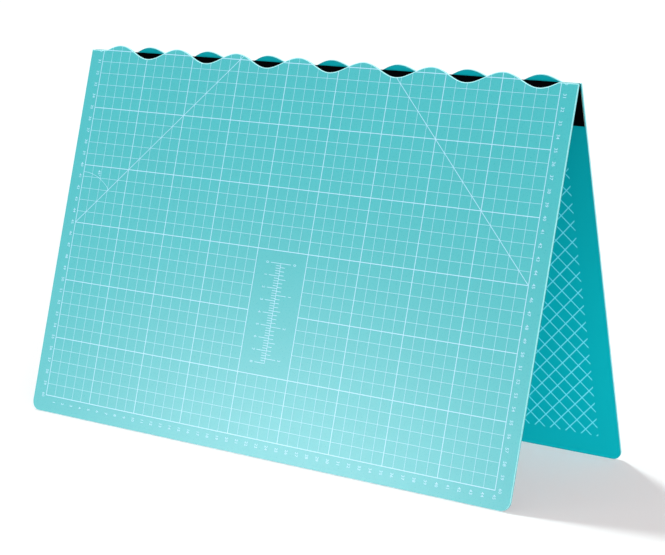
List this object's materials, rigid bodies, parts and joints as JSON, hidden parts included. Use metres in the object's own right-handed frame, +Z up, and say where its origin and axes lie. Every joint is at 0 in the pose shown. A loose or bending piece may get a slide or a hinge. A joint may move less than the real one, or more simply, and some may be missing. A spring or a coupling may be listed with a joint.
{
  "type": "folding cutting mat",
  "caption": "Laminated craft cutting mat with a printed grid, cut across in a wave and joined there by a cloth tape hinge on its reverse, shown folded to stand as a tent.",
  "frame": {"origin": "on the floor, midway between the feet of the two halves and midway along the fold", "axes": "+X along the fold, to the right as seen from the front; +Y from the front half to the rear half; +Z up"},
  "size_m": [0.478, 0.1722, 0.3079],
  "materials": {
    "printed_skin": "turquoise flexible PVC, fine matte grain, printed with pale lines",
    "core": "pale stiff PVC, seen only on the cut edges",
    "back_skin": "teal flexible PVC, fine matte grain, printed with pale diagonal lines",
    "adhesive": "clear tacky film",
    "tape": "black woven cloth tape"
  },
  "bodies": {
    "front_half": {"front_printed_skin": "printed_skin", "front_core": "core", "front_back_skin": "back_skin", "front_tape_adhesive": "adhesive", "front_tape_flap": "tape"},
    "rear_half": {"rear_printed_skin": "printed_skin", "rear_core": "core", "rear_back_skin": "back_skin", "rear_tape_adhesive": "adhesive", "rear_tape_flap": "tape"}
  },
  "joints": [
    {"name": "fold", "type": "hinge", "parent": "front_half", "child": "rear_half", "pos_m": [0, 0, 0.30251], "axis": [1, 0, 0], "range_deg": [-30.8, 149.2]}
  ]
}
